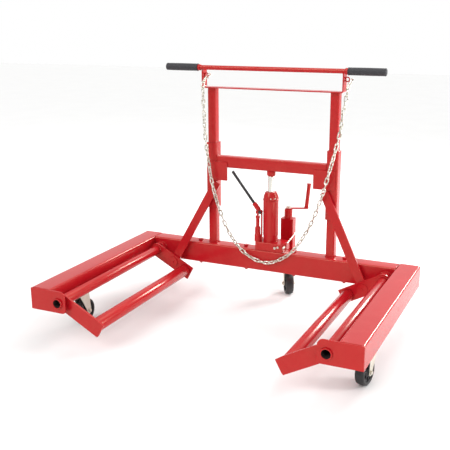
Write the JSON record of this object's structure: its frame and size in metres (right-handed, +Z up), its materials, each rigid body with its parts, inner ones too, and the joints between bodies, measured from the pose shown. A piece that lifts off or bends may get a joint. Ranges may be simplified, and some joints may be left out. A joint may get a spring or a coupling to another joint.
{
  "type": "wheel dolly",
  "caption": "U-shaped hydraulic wheel dolly on swivel casters: a bottle jack lifts a mast carriage that swings two long roller arms under a wheel, with push bar and safety chain.",
  "frame": {"origin": "on the floor, in the middle of the width and of the length", "axes": "+Z up, +Y from the open end towards the mast and the rear caster, +X to the right seen from the open end"},
  "size_m": [1.338, 1.048, 1.0605],
  "materials": {
    "red_paint": "gloss red paint",
    "black_handle": "satin black",
    "grip_rubber": "matte",
    "wheel_rubber": "matte",
    "zinc_plate": "zinc plated",
    "ram_steel": "ground and polished",
    "chain_steel": "zinc plated"
  },
  "bodies": {
    "frame": {"cross_beam": "red_paint", "beam_bolt_1": "red_paint", "beam_bolt_2": "red_paint", "beam_bolt_3": "red_paint", "beam_bolt_4": "red_paint", "left_leg": "red_paint", "right_leg": "red_paint", "left_end_plate": "red_paint", "right_end_plate": "red_paint", "left_post": "red_paint", "right_post": "red_paint", "top_strap": "red_paint", "push_bar": "red_paint", "left_grip": "grip_rubber", "right_grip": "grip_rubber", "jack_base": "red_paint", "jack_cylinder": "red_paint", "jack_cap": "red_paint", "pump_barrel": "red_paint", "fulcrum_bolt": "black_handle", "rear_column": "red_paint", "left_caster_plate": "zinc_plate", "right_caster_plate": "zinc_plate", "safety_chain": "chain_steel"},
    "carriage": {"left_sleeve": "red_paint", "right_sleeve": "red_paint", "cross_bar": "red_paint", "left_gusset": "red_paint", "right_gusset": "red_paint", "left_brace": "red_paint", "right_brace": "red_paint"},
    "jack_ram": {"ram": "ram_steel", "saddle": "red_paint"},
    "pump_lever": {"lever_socket": "red_paint", "pump_lever": "black_handle"},
    "plunger": {"pump_plunger": "red_paint"},
    "release_valve": {"release_rod": "zinc_plate"},
    "crank": {"lift_screw": "zinc_plate", "crank_arm": "red_paint"},
    "rear_post": {"caster_post": "zinc_plate", "rear_caster_plate": "zinc_plate"},
    "left_arm": {"left_pivot_tube": "red_paint", "left_arm_front": "red_paint", "left_arm_rear": "red_paint", "left_roller_axle": "zinc_plate"},
    "left_roller": {"left_roller": "red_paint"},
    "right_arm": {"right_pivot_tube": "red_paint", "right_arm_front": "red_paint", "right_arm_rear": "red_paint", "right_roller_axle": "zinc_plate"},
    "right_roller": {"right_roller": "red_paint"},
    "left_swivel": {"left_yoke": "zinc_plate", "left_caster_axle": "zinc_plate"},
    "left_wheel": {"left_wheel": "wheel_rubber"},
    "right_swivel": {"right_yoke": "zinc_plate", "right_caster_axle": "zinc_plate"},
    "right_wheel": {"right_wheel": "wheel_rubber"},
    "rear_swivel": {"rear_yoke": "zinc_plate", "rear_caster_axle": "zinc_plate"},
    "rear_wheel": {"rear_wheel": "wheel_rubber"}
  },
  "joints": [
    {"name": "carriage_lift", "type": "slide", "parent": "frame", "child": "carriage", "axis": [0, 0, 1], "range_m": [-0.01, 0.06]},
    {"name": "ram_lift", "type": "slide", "parent": "frame", "child": "jack_ram", "axis": [0, 0, 1], "range_m": [-0.01, 0.06]},
    {"name": "left_arm_swing", "type": "hinge", "parent": "frame", "child": "left_arm", "pos_m": [-0.5416, 0.294, 0.1932], "axis": [0, -1, 0], "range_deg": [-6.3, 37.3]},
    {"name": "left_roller_spin", "type": "hinge", "parent": "left_arm", "child": "left_roller", "pos_m": [-0.39368, 0.294, 0.11355], "axis": [0, 1, 0], "continuous": true},
    {"name": "right_arm_swing", "type": "hinge", "parent": "frame", "child": "right_arm", "pos_m": [0.5416, 0.294, 0.1932], "axis": [0, 1, 0], "range_deg": [-6.3, 37.3]},
    {"name": "right_roller_spin", "type": "hinge", "parent": "right_arm", "child": "right_roller", "pos_m": [0.39368, 0.294, 0.11355], "axis": [0, 1, 0], "continuous": true},
    {"name": "pump_stroke", "type": "hinge", "parent": "frame", "child": "pump_lever", "pos_m": [-0.0385, 0.312, 0.417], "axis": [0, -1, 0], "range_deg": [-36, 6]},
    {"name": "plunger_slide", "type": "slide", "parent": "frame", "child": "plunger", "axis": [0, 0, -1], "range_m": [-0.0061, 0.0011]},
    {"name": "release_turn", "type": "hinge", "parent": "frame", "child": "release_valve", "pos_m": [0.084, 0.284, 0.272], "axis": [0, 0.9816, 0.1908], "range_deg": [-90, 90]},
    {"name": "crank_turn", "type": "hinge", "parent": "frame", "child": "crank", "pos_m": [0.034, 0.474, 0.401], "axis": [0, 0, 1], "range_deg": [-721, 3241]},
    {"name": "rear_caster_height", "type": "slide", "parent": "frame", "child": "rear_post", "axis": [0, 0, -1], "range_m": [-0.008, 0.036]},
    {"name": "left_caster_swivel", "type": "hinge", "parent": "frame", "child": "left_swivel", "pos_m": [-0.6245, -0.268, 0.132], "axis": [0, 0, 1], "continuous": true},
    {"name": "left_wheel_spin", "type": "hinge", "parent": "left_swivel", "child": "left_wheel", "pos_m": [-0.6245, -0.232, 0.0508], "axis": [1, 0, 0], "continuous": true},
    {"name": "right_caster_swivel", "type": "hinge", "parent": "frame", "child": "right_swivel", "pos_m": [0.6245, -0.268, 0.132], "axis": [0, 0, 1], "continuous": true},
    {"name": "right_wheel_spin", "type": "hinge", "parent": "right_swivel", "child": "right_wheel", "pos_m": [0.61887, -0.30356, 0.0508], "axis": [-0.9877, 0.1564, 0], "continuous": true},
    {"name": "rear_caster_swivel", "type": "hinge", "parent": "rear_post", "child": "rear_swivel", "pos_m": [0.034, 0.474, 0.132], "axis": [0, 0, 1], "continuous": true},
    {"name": "rear_wheel_spin", "type": "hinge", "parent": "rear_swivel", "child": "rear_wheel", "pos_m": [0.052, 0.44282, 0.0508], "axis": [-0.866, -0.5, 0], "continuous": true}
  ],
  "couplings": [
    {"joint": "ram_lift", "follows": "carriage_lift", "ratio": 1},
    {"joint": "left_arm_swing", "follows": "carriage_lift", "rad_per_m": 10.821},
    {"joint": "right_arm_swing", "follows": "carriage_lift", "rad_per_m": 10.821},
    {"joint": "plunger_slide", "follows": "pump_stroke", "m_per_rad": 0.0095},
    {"joint": "crank_turn", "follows": "rear_caster_height", "rad_per_m": 1570.8}
  ]
}
